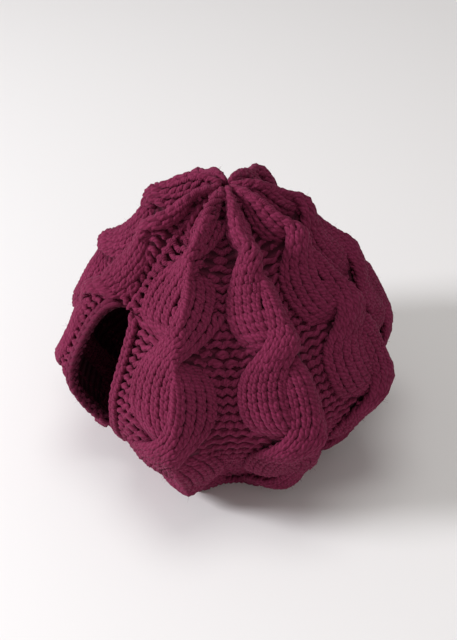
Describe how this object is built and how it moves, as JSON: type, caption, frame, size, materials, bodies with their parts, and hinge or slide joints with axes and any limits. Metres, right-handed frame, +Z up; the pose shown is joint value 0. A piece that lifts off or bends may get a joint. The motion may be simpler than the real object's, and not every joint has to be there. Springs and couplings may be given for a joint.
{
  "type": "tea cosy",
  "caption": "Hollow cable-knit tea cosy that stands on its hem, with a gathered crown and side openings for spout and handle.",
  "frame": {"origin": "middle of the object's box, on the surface that the hem rests on", "axes": "+Z up towards the gathered crown, -X towards the spout opening, +X towards the handle opening, -Y the front panel"},
  "size_m": [0.1695, 0.1759, 0.1489],
  "materials": {
    "plum_wool": "thick plied plum wool in cable knitting, matt and slightly fuzzy"
  },
  "bodies": {
    "root": {"front_panel": "plum_wool", "back_panel": "plum_wool"}
  },
  "joints": []
}
